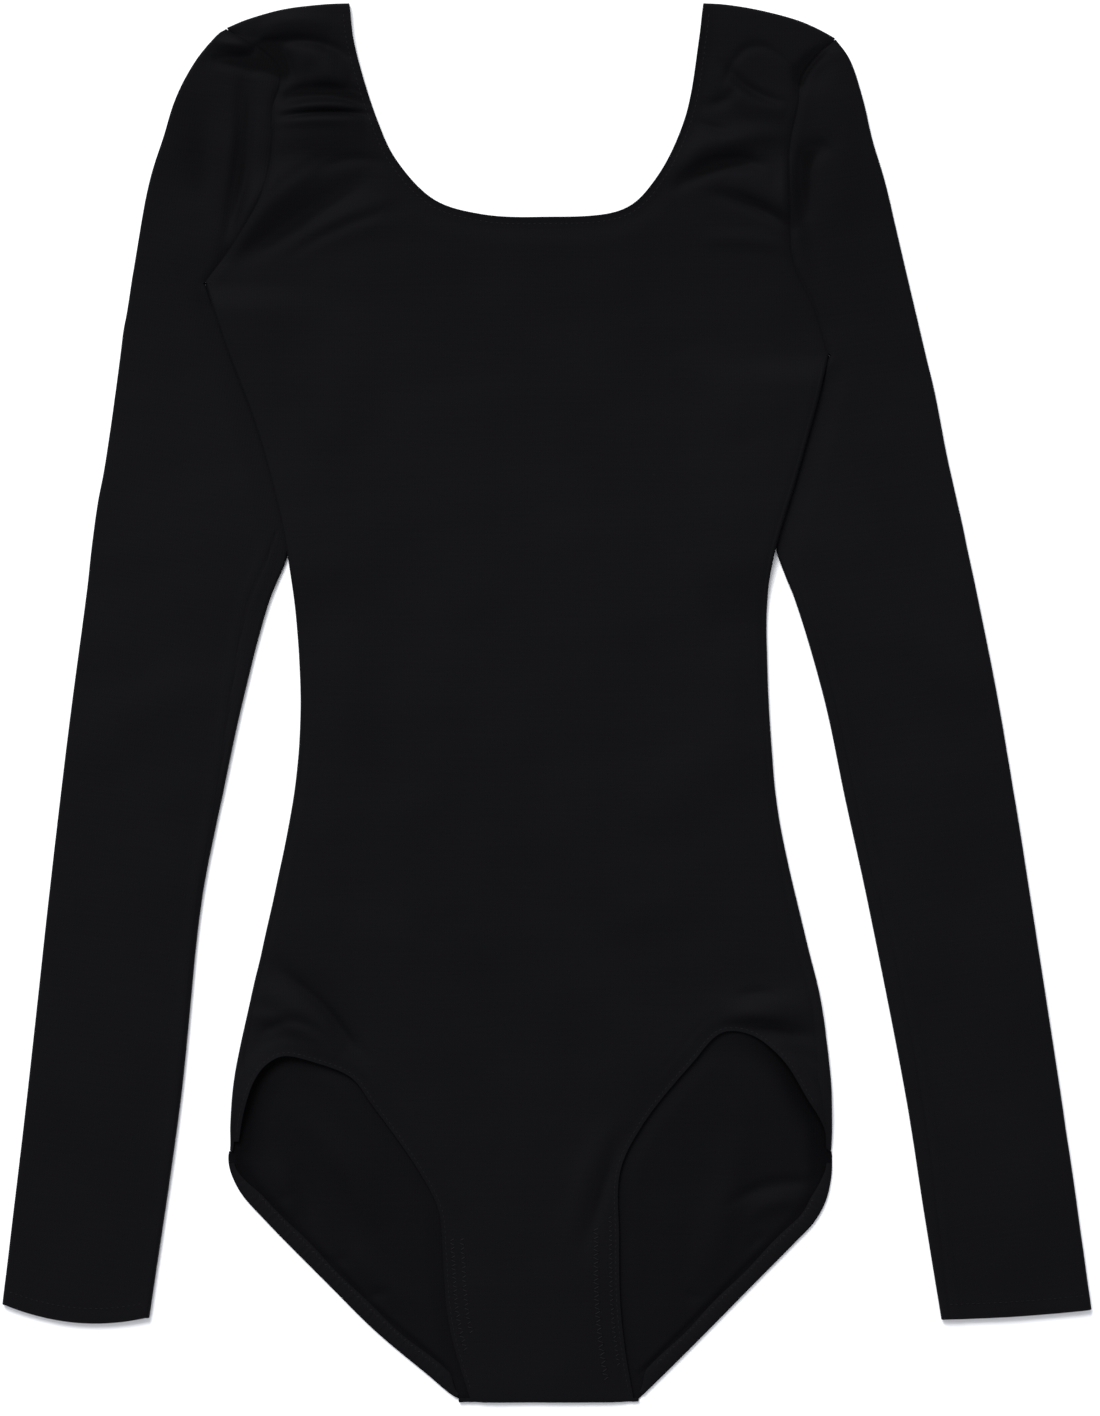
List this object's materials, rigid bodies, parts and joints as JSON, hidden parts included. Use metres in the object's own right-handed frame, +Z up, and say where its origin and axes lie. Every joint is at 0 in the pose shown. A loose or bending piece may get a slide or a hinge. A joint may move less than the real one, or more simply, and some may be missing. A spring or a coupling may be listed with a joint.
{
  "type": "long-sleeve leotard laid flat",
  "caption": "Black stretch-jersey leotard with a deep scoop neck, long sleeves and high-cut legs, laid flat with its front up and its sleeves swung down beside the body.",
  "frame": {"origin": "middle of the base of the whole garment, on the surface that it lies on", "axes": "+X to the right as the front is seen, +Y from the crotch to the shoulders, +Z up from the surface"},
  "size_m": [0.5288, 0.6794, 0.0068],
  "materials": {
    "jersey": "fine matt knit with a soft sheen",
    "elastic_hem": "the same knit, turned over elastic and stitched"
  },
  "bodies": {
    "root": {"front": "jersey", "back": "jersey", "sleeve_left": "jersey", "sleeve_right": "jersey", "leg_hem_left": "elastic_hem", "leg_hem_right": "elastic_hem"}
  },
  "joints": []
}
